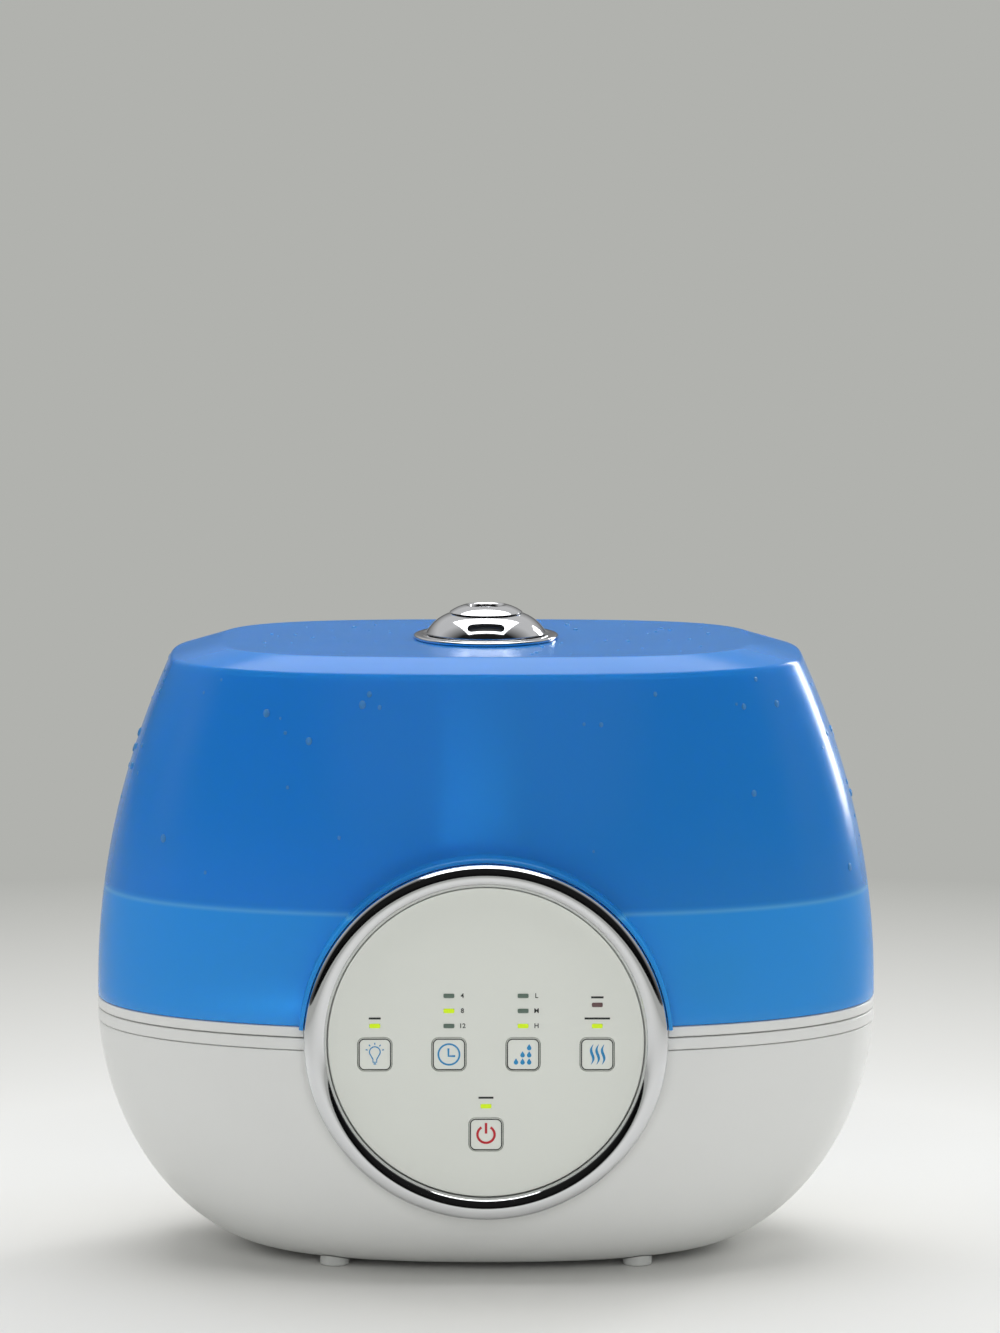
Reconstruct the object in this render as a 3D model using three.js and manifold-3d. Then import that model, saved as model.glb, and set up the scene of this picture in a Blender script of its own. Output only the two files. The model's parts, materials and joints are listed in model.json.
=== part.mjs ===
// A warm and cool mist humidifier: a lift-off water tank on a bowl-shaped base, with a round
// control panel on the front. Millimetres, +Z up, the front faces -Y.
import * as THREE from "three";
import { mergeVertices } from "three/addons/utils/BufferGeometryUtils.js";
import Module from "manifold-3d";

const wasm = await Module();
wasm.setup();

// ---- Driving dimensions -------------------------------------------------------------------

const GAP = 0.3; // clearance between pieces that meet
const WALL = 2.8; // moulded wall of the tank and the base
const OVAL_STEPS = 48; // points round each oval section

const BODY_HALF_WIDTH = 160.4; // the oval body at its widest height
const BODY_HALF_DEPTH = 88;
const BODY_SQUARENESS = 2.3; // superellipse exponent of the body's plan
const WIDEST_Z = 108;

const BASE_BOTTOM_Z = 2.5; // flat underside, above the feet
const BASE_FLAT_HALF_WIDTH = 90.8;
const BASE_FLAT_HALF_DEPTH = 53;
const BOWL_TOP_Z = 104; // height where the bowl's curve would reach the full oval
const PARTING_Z = 95.2; // top edge of the base housing
const DECK_TOP_Z = 100.3; // top edge of the deck's rim band
const TRIM_BOTTOM_Z = 100.8; // the tank's floor plate
const TRIM_TOP_Z = 105;
const TANK_BOTTOM_Z = TRIM_TOP_Z + GAP;

const RIM_Z = 246.9; // crease at the top of the tank's side wall
const RIM_INSET = 31; // how far the side wall leans in from the widest height
const RIM_DEPTH_INSET = 17.5;
const RIM_SQUARENESS = 2.8;
const PLATEAU_Z = 252.6; // flat top inside the bevel
const PLATEAU_HALF_WIDTH = 109;
const PLATEAU_HALF_DEPTH = 59.5;
const PLATEAU_SQUARENESS = 3.2;

const PANEL_Z = 100.3; // centre of the round control panel
const PANEL_Y = -89; // front of the drum that carries it
const PANEL_TILT = THREE.MathUtils.degToRad(2.5); // the panel's top leans forward
const RING_OUTER_R = 73.4;
const RING_INNER_R = 63.9;
const RING_HEIGHT = 4.6;
const DRUM_R = 72.9;
const DRUM_DEPTH = 27;
const NOTCH_R = RING_OUTER_R + GAP; // the tank's arch over the drum
const COLLAR_R = NOTCH_R + 1.7;
const PANEL_FACE = 1.2; // front of the panel, above the drum's rim

const KEY_SIZE = 13.5;
const KEY_ROUND = 2.6;
const KEY_TRAVEL = 0.5;
const KEY_PITCH = 29.8;
const KEY_ROW = -4.7;
const POWER_KEY_ROW = -37.8;
const LAMP_W = 4.4;
const LAMP_H = 1.8;
const LAMP_PITCH = 6.2;
const LAMP_ROW = 7;
const REFILL_LAMP_ROW = 15.7;
const POWER_LAMP_ROW = -26.1;

const CHIMNEY_R = 19.5; // outside of the mist tube through the tank
const CHIMNEY_BORE_R = 17.5;
const FLANGE_R = 29.7; // chromed ring round the nozzle
const DOME_R = 24.6; // foot of the nozzle's dome
const DOME_CREST_R = 14.9;
const DOME_CREST_Z = 263;
const SLOT_Y = -20.8; // middle of the slot in the dome's front
const SLOT_Z = 259.7;
const OUTLET_RIDGE_R = 8.2;
const NOZZLE_TOP_Z = 266.4;
const MIST_HOLE_R = 6.5;

const CAP_X = 90; // filler cap under the tank
const CAP_R = 26;
const CAP_BOTTOM_Z = 84;
const CARTRIDGE_TOP_Z = 120;
const NECK_R = 21;
const NECK_BORE_R = 18.5;

const BASIN_FLOOR_Z = 68;
const BASIN_X = 47; // middle of the water basin
const BASIN_HALF_WIDTH = 79;
const BASIN_HALF_DEPTH = 50;
const BASIN_Y = 4;

const FAN_X = -36;
const FAN_SIZE = 40;
const FAN_BOTTOM_Z = 13;
const FAN_THICK = 15;
const FAN_BLADES = 7;

const FLOAT_X = 38;
const FLOAT_Y = 34;
const HEATER_X = 44;
const HEATER_Y = -12;

const DUCT_X = -74; // riser that carries the fan's air above the water
const DUCT_R = 20;
const NIGHT_LIGHT_Y = 68;
const NIGHT_LIGHT_R = 6;
const BOARD_Z = 30;
const BOARD_X = 65;

const FOOT_X = 62;
const FOOT_Y = 46;
const FOOT_R = 6;
const SCREW_X = 50;
const SCREW_Y = 26;

// ---- Materials ----------------------------------------------------------------------------

const finish = (color, roughness, metalness = 0, extra = {}) => () =>
  new THREE.MeshStandardMaterial({ color, roughness, metalness, ...extra });

const tankBlue = finish(0x2f74c8, 0.15, 0, { transparent: true, opacity: 0.75 });
const whitePlastic = finish(0xdfe1de, 0.4);
const panelPlastic = finish(0xcfd3cb, 0.45);
const chrome = finish(0xd8dadd, 0.08, 1);
const greyPlastic = finish(0x8f9494, 0.5);
const darkPlastic = finish(0x3a3d3f, 0.5);
const rubber = finish(0x4a4c4e, 0.85);
const silicone = finish(0xd9d6cc, 0.6);
const clearPlastic = finish(0xe8f0e6, 0.15, 0, { transparent: true, opacity: 0.6 });
const boardGreen = finish(0x23603c, 0.5);
const brass = finish(0xb9964f, 0.3, 1);
const steel = finish(0xb4b7ba, 0.3, 1);
const aluminium = finish(0xa9adb0, 0.4, 1);
const filterFoam = finish(0x5d6266, 0.95);
const resinBeads = finish(0x3f8f8a, 0.6);

// ---- Solids -------------------------------------------------------------------------------

// A three.js geometry, or a solid, as a manifold solid moved by the given matrix.
function solid(shape, matrix) {
  if (!shape.isBufferGeometry) {
    return matrix ? shape.transform(matrix.elements) : shape;
  }
  const bare = shape.clone();
  bare.deleteAttribute("normal");
  bare.deleteAttribute("uv");
  if (matrix) {
    bare.applyMatrix4(matrix);
  }
  const merged = mergeVertices(bare, 1e-4);
  return new wasm.Manifold(
    new wasm.Mesh({
      numProp: 3,
      vertProperties: new Float32Array(merged.attributes.position.array),
      triVerts: new Uint32Array(merged.index.array),
    }),
  );
}

// A manifold solid, or a geometry, as a named three.js mesh.
function piece(name, shape, material) {
  const made = shape.isBufferGeometry ? solid(shape) : shape;
  const { vertProperties, triVerts } = made.getMesh();
  const geometry = new THREE.BufferGeometry();
  geometry.setAttribute("position", new THREE.BufferAttribute(vertProperties, 3));
  geometry.setIndex(new THREE.BufferAttribute(triVerts, 1));
  geometry.computeVertexNormals();
  const mesh = new THREE.Mesh(geometry, material());
  mesh.name = name;
  return mesh;
}

const move = (x, y, z) => new THREE.Matrix4().makeTranslation(x, y, z);

const union = (...solids) => solids.reduce((a, b) => a.add(b));

const cut = (body, ...tools) => tools.reduce((a, b) => a.subtract(b), body);

// A superellipse ring of points at height z.
function oval(a, b, n, z) {
  const points = [];
  for (let i = 0; i < OVAL_STEPS; i++) {
    const angle = (i / OVAL_STEPS) * 2 * Math.PI;
    const c = Math.cos(angle);
    const s = Math.sin(angle);
    const x = a * Math.sign(c) * Math.abs(c) ** (2 / n);
    const y = b * Math.sign(s) * Math.abs(s) ** (2 / n);
    points.push(new THREE.Vector3(x, y, z));
  }
  return points;
}

// A closed solid through rings of points, from the lowest ring to the highest.
function loft(rings) {
  const count = rings[0].length;
  const vertices = rings.flat();
  const middle = (ring) =>
    ring.reduce((sum, p) => sum.add(p), new THREE.Vector3()).divideScalar(count);
  vertices.push(middle(rings[0]), middle(rings.at(-1)));
  const bottom = vertices.length - 2;
  const top = bottom + 1;
  const last = (rings.length - 1) * count;
  const faces = [];
  for (let i = 0; i < count; i++) {
    const j = (i + 1) % count;
    for (let level = 0; level < rings.length - 1; level++) {
      const low = level * count;
      const high = low + count;
      faces.push(low + i, low + j, high + j, low + i, high + j, high + i);
    }
    faces.push(bottom, j, i, top, last + i, last + j);
  }
  const geometry = new THREE.BufferGeometry().setFromPoints(vertices);
  geometry.setIndex(faces);
  return solid(geometry);
}

// A straight prism of the oval plan between two heights.
const ovalPrism = (a, b, n, low, high) => loft([oval(a, b, n, low), oval(a, b, n, high)]);

// A cylinder about Z between two heights.
function disc(radius, low, high, x = 0, y = 0, sides = 24) {
  const geometry = new THREE.CylinderGeometry(radius, radius, high - low, sides);
  geometry.rotateX(Math.PI / 2);
  return solid(geometry, move(x, y, (low + high) / 2));
}

// A tube about Z between two heights.
const pipe = (outer, inner, low, high, x = 0, y = 0, sides = 24) =>
  cut(disc(outer, low, high, x, y, sides), disc(inner, low - 1, high + 1, x, y, sides));

// A box from its middle in plan and its two heights.
const block = (width, depth, low, high, x = 0, y = 0) =>
  solid(new THREE.BoxGeometry(width, depth, high - low), move(x, y, (low + high) / 2));

// A solid of revolution about Z from its [radius, height] outline, walked with the solid on
// its left.
function turned(outline, sides = 30) {
  const points = outline.map(([r, z]) => new THREE.Vector2(r, z));
  if (outline[0][0] > 0) {
    points.push(points[0].clone());
  }
  const geometry = new THREE.LatheGeometry(points, sides);
  geometry.rotateX(Math.PI / 2);
  return solid(geometry);
}

// Points on an elliptical arc in [radius, height], angles in degrees.
function arc(radius, height, wide, tall, from, to, steps) {
  return Array.from({ length: steps + 1 }, (_, i) => {
    const angle = THREE.MathUtils.degToRad(from + ((to - from) * i) / steps);
    return [radius + wide * Math.cos(angle), height + tall * Math.sin(angle)];
  });
}

// Points on a shallow curve from one point to another, which swells to the right of its path.
function bowed([fromR, fromZ], [toR, toZ], swell, steps) {
  const run = toR - fromR;
  const rise = toZ - fromZ;
  const length = Math.hypot(run, rise);
  return Array.from({ length: steps + 1 }, (_, i) => {
    const t = i / steps;
    const out = 4 * swell * t * (1 - t);
    return [fromR + run * t + (rise / length) * out, fromZ + rise * t - (run / length) * out];
  });
}

// A rounded rectangle prism centred on x, y.
function pad(width, depth, round, low, high, x = 0, y = 0) {
  const w = width / 2;
  const d = depth / 2;
  const shape = new THREE.Shape();
  shape.absarc(w - round, d - round, round, 0, Math.PI / 2);
  shape.absarc(round - w, d - round, round, Math.PI / 2, Math.PI);
  shape.absarc(round - w, round - d, round, Math.PI, 1.5 * Math.PI);
  shape.absarc(w - round, round - d, round, 1.5 * Math.PI, 2 * Math.PI);
  const options = { depth: high - low, bevelEnabled: false, curveSegments: 3 };
  return solid(new THREE.ExtrudeGeometry(shape, options), move(x, y, low));
}

// ---- Body outlines ------------------------------------------------------------------------

// The tank's side wall at height z, inset by a wall thickness.
function tankOval(z, inset = 0) {
  const lean = (Math.abs(z - WIDEST_Z) / (RIM_Z - WIDEST_Z)) ** 2.05;
  const a = BODY_HALF_WIDTH - RIM_INSET * lean - inset;
  const b = BODY_HALF_DEPTH - RIM_DEPTH_INSET * lean - inset;
  return oval(a, b, BODY_SQUARENESS + (RIM_SQUARENESS - BODY_SQUARENESS) * lean, z);
}

function plateau(inset) {
  const a = PLATEAU_HALF_WIDTH - inset;
  return oval(a, PLATEAU_HALF_DEPTH - inset, PLATEAU_SQUARENESS, PLATEAU_Z - inset);
}

// The whole outside of the tank, or its water space when inset by the wall.
function tankForm(inset) {
  const low = inset ? TRIM_BOTTOM_Z : TANK_BOTTOM_Z;
  const levels = 6;
  const rings = [];
  for (let i = 0; i <= levels; i++) {
    rings.push(tankOval(low + ((RIM_Z - inset - low) * i) / levels, inset));
  }
  rings.push(plateau(inset));
  return loft(rings);
}

// The bowl's half width and half depth at height z.
function bowlSize(z) {
  const rise = (z - BASE_BOTTOM_Z) / (BOWL_TOP_Z - BASE_BOTTOM_Z);
  const sideways = (1 - (1 - rise) ** 2) ** (1 / 1.7);
  const frontways = (1 - (1 - rise) ** 4) ** (1 / 1.8);
  return [
    BASE_FLAT_HALF_WIDTH + (BODY_HALF_WIDTH - BASE_FLAT_HALF_WIDTH) * sideways,
    BASE_FLAT_HALF_DEPTH + (BODY_HALF_DEPTH - BASE_FLAT_HALF_DEPTH) * frontways,
  ];
}

function bowlForm(inset, high) {
  const levels = 7;
  const rings = [];
  for (let i = 0; i <= levels; i++) {
    const share = (i / levels) ** 2; // closer levels where the bowl curves most
    const z = BASE_BOTTOM_Z + (high - BASE_BOTTOM_Z) * share;
    const [a, b] = bowlSize(z);
    rings.push(oval(a - inset, b - inset, BODY_SQUARENESS, z + (inset * (levels - i)) / levels));
  }
  return loft(rings);
}

// The control panel's own frame: x right, y up its face, z out towards the user.
const panelFrame = new THREE.Matrix4()
  .makeRotationX(Math.PI / 2 + PANEL_TILT)
  .setPosition(0, PANEL_Y, PANEL_Z);

// A cylinder on the panel's axis, between two distances out from the drum's rim.
const onPanelAxis = (radius, from, to, sides = 48) =>
  solid(disc(radius, from, to, 0, 0, sides), panelFrame);

// ---- Water tank ---------------------------------------------------------------------------

function waterTank() {
  const above = block(400, 300, TANK_BOTTOM_Z, 300);
  const collar = onPanelAxis(COLLAR_R, -DRUM_DEPTH - 3, 1).intersect(above);
  const recess = onPanelAxis(COLLAR_R + 0.8, -DRUM_DEPTH - 3, 40);
  const water = tankForm(WALL).subtract(recess);
  const shell = cut(
    tankForm(0).add(collar),
    water,
    onPanelAxis(NOTCH_R, -DRUM_DEPTH - GAP, 40),
    disc(CHIMNEY_R + GAP, 200, 300),
  );

  const mid = bowlSize(TRIM_BOTTOM_Z);
  const plate = ovalPrism(mid[0], mid[1], BODY_SQUARENESS, TRIM_BOTTOM_Z, TRIM_TOP_Z);
  const floor = union(
    cut(plate, onPanelAxis(NOTCH_R, -DRUM_DEPTH - GAP, 40), disc(NECK_BORE_R, 90, 110, CAP_X)),
    pipe(NECK_R, NECK_BORE_R, 90, TRIM_TOP_Z, CAP_X),
  );

  const chimneyTop = PLATEAU_Z - GAP;
  return [
    piece("tank_shell", shell, tankBlue),
    piece("tank_floor", floor.subtract(disc(CHIMNEY_R + GAP, 90, 110)), whitePlastic),
    piece("mist_chimney", pipe(CHIMNEY_R, CHIMNEY_BORE_R, TRIM_BOTTOM_Z, chimneyTop), tankBlue),
  ];
}

function nozzle() {
  const flangeZ = PLATEAU_Z + GAP;
  const flange = turned([
    [CHIMNEY_BORE_R, flangeZ],
    [FLANGE_R, flangeZ],
    ...arc(FLANGE_R - 1, flangeZ + 0.2, 1, 1, 0, 90, 3),
    [DOME_R + 1.6, flangeZ + 1.4],
    [CHIMNEY_BORE_R, flangeZ + 1.4],
  ]);

  const domeZ = flangeZ + 1.4 + GAP;
  const skin = 2.4; // across the dome's wall, measured level
  const swell = 1.1;
  const dome = turned([
    [DOME_R - skin, domeZ],
    [DOME_R, domeZ],
    ...bowed([DOME_R, domeZ + 0.5], [DOME_CREST_R, DOME_CREST_Z], swell, 7),
    ...bowed([DOME_CREST_R - skin, DOME_CREST_Z], [DOME_R - skin, domeZ], -swell, 6).slice(0, -1),
  ]);
  const slotTilt = 0.75; // how far the slot looks upwards
  const slot = solid(
    pad(15.3, 4.2, 2, -6, 6),
    new THREE.Matrix4().makeRotationX(Math.PI / 2 - slotTilt).setPosition(0, SLOT_Y, SLOT_Z),
  );

  const outletZ = DOME_CREST_Z + GAP;
  const mouth = OUTLET_RIDGE_R - MIST_HOLE_R;
  const outlet = turned([
    [MIST_HOLE_R, outletZ],
    ...bowed([DOME_CREST_R, outletZ], [OUTLET_RIDGE_R, NOZZLE_TOP_Z], 0.35, 4),
    ...arc(OUTLET_RIDGE_R, NOZZLE_TOP_Z - mouth, mouth, mouth, 90, 180, 4).slice(1),
  ]);

  const insert = turned(
    [
      [13, 248],
      [CHIMNEY_BORE_R - 0.8, 248],
      [CHIMNEY_BORE_R - 0.8, domeZ + 1],
      [13, domeZ + 1],
    ],
    28,
  );
  return [
    piece("nozzle_flange", flange, chrome),
    piece("nozzle_dome", dome.subtract(slot), chrome),
    piece("nozzle_outlet", outlet, chrome),
    piece("nozzle_insert", insert, darkPlastic),
  ];
}

// ---- Filler cap and its valve -------------------------------------------------------------

const VALVE_SHAFT_R = 2;
const VALVE_HOLE_R = 6;

function fillerCap() {
  const skirtTop = TRIM_BOTTOM_Z - GAP;
  const cup = union(
    disc(CAP_R, CAP_BOTTOM_Z, CAP_BOTTOM_Z + 3, CAP_X, 0, 28),
    pipe(CAP_R, NECK_R + GAP + 0.4, CAP_BOTTOM_Z, skirtTop, CAP_X, 0, 28),
  );
  const grips = [];
  const gripCount = 12;
  for (let i = 0; i < gripCount; i++) {
    const angle = (i / gripCount) * 2 * Math.PI;
    const x = CAP_X + (CAP_R - 0.1) * Math.cos(angle);
    grips.push(disc(1.1, CAP_BOTTOM_Z + 1, skirtTop - 1, x, (CAP_R - 0.1) * Math.sin(angle), 6));
  }
  const cap = cut(union(cup, ...grips), disc(VALVE_HOLE_R, 80, 90, CAP_X, 0, 20));

  const gasketZ = CAP_BOTTOM_Z + 3 + GAP;
  const gasket = pipe(NECK_R, 17.5, gasketZ, 90 - GAP, CAP_X, 0, 28);

  const cartridge = cut(
    disc(16.5, 93, CARTRIDGE_TOP_Z, CAP_X, 0, 28),
    disc(9, 92, CARTRIDGE_TOP_Z - 2, CAP_X, 0, 20),
  );
  return [
    piece("filler_cap", cap, greyPlastic),
    piece("cap_gasket", gasket, silicone),
    piece("demineralization_cartridge", cartridge, resinBeads),
  ];
}

// A round wire wound in a helix about Z.
function coilSpring(radius, wire, low, high, turns) {
  class Helix extends THREE.Curve {
    getPoint(t, target = new THREE.Vector3()) {
      const angle = t * turns * 2 * Math.PI;
      return target.set(radius * Math.cos(angle), radius * Math.sin(angle), low + (high - low) * t);
    }
  }
  const section = new THREE.Shape().absarc(0, 0, wire, 0, 2 * Math.PI);
  const options = { steps: turns * 9, extrudePath: new Helix(), curveSegments: 2 };
  return solid(new THREE.ExtrudeGeometry(section, options));
}

function fillerValve() {
  const stem = union(
    disc(VALVE_SHAFT_R, 74, 100, CAP_X, 0, 12),
    disc(8, 91.3, 93 - GAP, CAP_X, 0, 20),
  );
  const sealZ = CAP_BOTTOM_Z + 3 + GAP + 2.4;
  const seal = pipe(8.5, VALVE_SHAFT_R + GAP, sealZ, sealZ + 1.2, CAP_X, 0, 20);
  const spring = coilSpring(4.6, 0.4, 93.6, CARTRIDGE_TOP_Z - 3, 5);
  return [
    piece("valve_stem", stem, whitePlastic),
    piece("valve_seal", seal, silicone),
    piece("valve_spring", solid(spring, move(CAP_X, 0, 0)), steel),
  ];
}

// ---- Base ---------------------------------------------------------------------------------

const COVER_HALF_WIDTH = 76; // rebate for the bottom cover
const COVER_HALF_DEPTH = 41;
const COVER_TOP_Z = 6.2;
const LIP_Z = COVER_TOP_Z + GAP;
const LIP_TOP_Z = LIP_Z + WALL;
const GLAND_X = 40;
const GLAND_Z = 26;
const GLAND_SEAT_Y = 71;

const onCorners = (x, y) => [
  [-x, -y],
  [x, -y],
  [-x, y],
  [x, y],
];

// A cylinder on the cord gland's axis, between two distances behind the middle of the body.
const onGlandAxis = (radius, from, to) =>
  solid(
    disc(radius, from, to, 0, 0, 24),
    new THREE.Matrix4().makeRotationX(-Math.PI / 2).setPosition(GLAND_X, 0, GLAND_Z),
  );

function baseHousing() {
  const outside = bowlForm(0, PARTING_Z);
  const lip = ovalPrism(
    COVER_HALF_WIDTH + 4, COVER_HALF_DEPTH + 4, BODY_SQUARENESS, BASE_BOTTOM_Z, LIP_TOP_Z,
  );
  const screwBosses = onCorners(SCREW_X, SCREW_Y).map(([x, y]) => disc(4, LIP_Z, 22, x, y, 16));
  const screwHoles = onCorners(SCREW_X, SCREW_Y).map(([x, y]) => disc(1.8, 0, 18, x, y, 12));
  const boardPosts = onCorners(38, 32).map(([x, y]) =>
    disc(3.5, BASE_BOTTOM_Z, BOARD_Z - GAP, BOARD_X + x, y, 12).intersect(outside),
  );
  const glandBoss = onGlandAxis(11, 66, 100).intersect(outside);
  const shell = outside.subtract(bowlForm(WALL, PARTING_Z + 1));
  return cut(
    union(shell, lip, ...screwBosses, ...boardPosts, glandBoss),
    ovalPrism(COVER_HALF_WIDTH, COVER_HALF_DEPTH, BODY_SQUARENESS, 0, LIP_Z),
    ovalPrism(62, 27, BODY_SQUARENESS, 0, LIP_TOP_Z + 1),
    onPanelAxis(DRUM_R + GAP, -DRUM_DEPTH - GAP, 40),
    onGlandAxis(8.3, GLAND_SEAT_Y, 100),
    onGlandAxis(5.8, 60, 100),
    ...screwHoles,
  );
}

function baseDeck() {
  const [a, b] = bowlSize(DECK_TOP_Z);
  const plateZ = PARTING_Z + GAP;
  const plateTop = plateZ + 2;
  const full = ovalPrism(a, b, BODY_SQUARENESS, plateZ, DECK_TOP_Z);
  const hollow = ovalPrism(a - 3.2, b - 3.2, BODY_SQUARENESS, plateTop, DECK_TOP_Z + 1);
  const skirt = cut(
    ovalPrism(a - 5, b - 5, BODY_SQUARENESS, plateZ - 4, plateZ + 1),
    ovalPrism(a - 7.4, b - 7.4, BODY_SQUARENESS, plateZ - 5, plateZ),
  );
  const width = 2 * BASIN_HALF_WIDTH;
  const depth = 2 * BASIN_HALF_DEPTH;
  const basin = pad(width, depth, 30, BASIN_FLOOR_Z - WALL, plateZ + 1, BASIN_X, BASIN_Y);
  const water = pad(
    width - 2 * WALL, depth - 2 * WALL, 30 - WALL, BASIN_FLOOR_Z, DECK_TOP_Z + 1, BASIN_X, BASIN_Y,
  );
  const valvePost = disc(3, BASIN_FLOOR_Z - 1, 74 - GAP, CAP_X, 0, 12);
  const body = cut(
    union(full.subtract(hollow), skirt, basin),
    water,
    disc(DUCT_R + GAP, 80, 110, DUCT_X, 0),
    disc(13, 60, 72),
    disc(5, 60, 72, HEATER_X, HEATER_Y, 16),
    disc(NIGHT_LIGHT_R + GAP, 80, 110, 0, NIGHT_LIGHT_Y, 20),
    onPanelAxis(DRUM_R + GAP, -DRUM_DEPTH - GAP, 40),
  );
  return body.add(valvePost);
}

function bottomCover() {
  const plate = ovalPrism(
    COVER_HALF_WIDTH - GAP, COVER_HALF_DEPTH - GAP, BODY_SQUARENESS, BASE_BOTTOM_Z, COVER_TOP_Z,
  );
  const slots = [];
  const slotCount = 7;
  for (let i = 0; i < slotCount; i++) {
    slots.push(block(3.2, 34, 0, 10, FAN_X + 6 * (i - (slotCount - 1) / 2)));
  }
  const screwWays = onCorners(SCREW_X, SCREW_Y).flatMap(([x, y]) => [
    disc(1.9, 0, 10, x, y, 12),
    disc(3.2, 0, 4.6, x, y, 16),
  ]);
  return cut(plate, ...slots, ...screwWays);
}

function coverScrews() {
  return onCorners(SCREW_X, SCREW_Y).map(([x, y], i) => {
    const screw = cut(
      union(disc(2.8, 2.9, 4.3, x, y, 16), disc(1.5, 4, 17, x, y, 10)),
      block(3.6, 0.8, 2, 3.6, x, y),
      block(0.8, 3.6, 2, 3.6, x, y),
    );
    return piece(`cover_screw_${i + 1}`, screw, steel);
  });
}

function feet() {
  const bowl = bowlForm(-GAP, PARTING_Z);
  return onCorners(FOOT_X, FOOT_Y).map(([x, y], i) => {
    const sole = arc(FOOT_R - 0.8, 0.8, 0.8, 0.8, -90, 0, 3);
    const foot = turned([[0, 0], ...sole, [FOOT_R, 8], [0, 8]], 20);
    return piece(`foot_${i + 1}`, solid(foot, move(x, y, 0)).subtract(bowl), rubber);
  });
}

function cordGland() {
  const flange = onGlandAxis(8, GLAND_SEAT_Y + GAP, GLAND_SEAT_Y + 2.4);
  const sleeve = onGlandAxis(5.5, 64, GLAND_SEAT_Y + 1);
  return cut(flange.add(sleeve), onGlandAxis(3.5, 60, 80));
}

// ---- Mist works inside the base -----------------------------------------------------------

function fan() {
  const top = FAN_BOTTOM_Z + FAN_THICK;
  const bore = FAN_SIZE / 2 - 1.6;
  const frame = union(
    pad(FAN_SIZE, FAN_SIZE, 4, FAN_BOTTOM_Z, top, FAN_X).subtract(disc(bore, 0, 60, FAN_X)),
    block(FAN_SIZE - 1, 3.5, FAN_BOTTOM_Z, FAN_BOTTOM_Z + 2, FAN_X),
    block(3.5, FAN_SIZE - 1, FAN_BOTTOM_Z, FAN_BOTTOM_Z + 2, FAN_X),
    disc(9, FAN_BOTTOM_Z, FAN_BOTTOM_Z + 2, FAN_X, 0, 24),
  );
  const hubR = 9.5;
  const hubZ = FAN_BOTTOM_Z + 2 + GAP;
  const bladeLength = bore - 0.8 - hubR + 1;
  const blade = new THREE.BoxGeometry(bladeLength, 11, 1.2);
  const rotor = [disc(hubR, hubZ, top - 1, FAN_X, 0, 24)];
  for (let i = 0; i < FAN_BLADES; i++) {
    const place = new THREE.Matrix4()
      .makeRotationZ((i / FAN_BLADES) * 2 * Math.PI)
      .setPosition(FAN_X, 0, (hubZ + top) / 2)
      .multiply(move(hubR - 1 + bladeLength / 2, 0, 0))
      .multiply(new THREE.Matrix4().makeRotationX(0.65));
    rotor.push(solid(blade, place));
  }
  const filterZ = LIP_TOP_Z + GAP;
  const filter = pad(FAN_SIZE, FAN_SIZE, 4, filterZ, FAN_BOTTOM_Z - GAP, FAN_X);
  return {
    still: [piece("fan_housing", frame, darkPlastic), piece("air_filter", filter, filterFoam)],
    turning: [piece("fan_rotor", union(...rotor), darkPlastic)],
  };
}

function airDuct() {
  const low = FAN_BOTTOM_Z + FAN_THICK + GAP;
  const high = low + 18;
  const middle = (FAN_X + DUCT_X) / 2;
  const length = FAN_X - DUCT_X + 2 * (DUCT_R + 3);
  return cut(
    union(pad(length, 46, 8, low, high, middle), disc(DUCT_R, high - 1, DECK_TOP_Z - 0.5, DUCT_X)),
    pad(length - 4, 42, 6, low + 2, high - 2, middle),
    disc(DUCT_R - 2, high - 3, 110, DUCT_X),
    disc(17, low - 1, low + 3, FAN_X),
  );
}

function mistWorks() {
  const floor = BASIN_FLOOR_Z + GAP;
  const wall = pipe(24, 21.6, floor, DECK_TOP_Z);
  const ways = [block(9, 80, 60, floor + 6), block(80, 9, 60, floor + 6)];
  const airWay = block(30, 18, 88, 97, -24);
  const chamber = cut(wall, ...ways, airWay);
  const heater = union(
    disc(14, floor, floor + 2, HEATER_X, HEATER_Y, 28),
    disc(4.7, 60, floor + 1, HEATER_X, HEATER_Y, 16),
  );
  const guide = union(
    disc(6, floor, floor + 1.5, FLOAT_X, FLOAT_Y, 20),
    disc(2.5, floor, 90, FLOAT_X, FLOAT_Y, 16),
    disc(4, 88.5, 90, FLOAT_X, FLOAT_Y, 16),
  );
  return [
    piece("mist_chamber", chamber, whitePlastic),
    piece("transducer", disc(10, 66.5, 68.5, 0, 0, 28), brass),
    piece("transducer_gasket", pipe(12.7, 10.3, 65.8, 69, 0, 0, 28), silicone),
    piece("heater_plate", heater, steel),
    piece("float_guide", guide, whitePlastic),
    piece("air_duct", airDuct(), whitePlastic),
  ];
}

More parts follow.
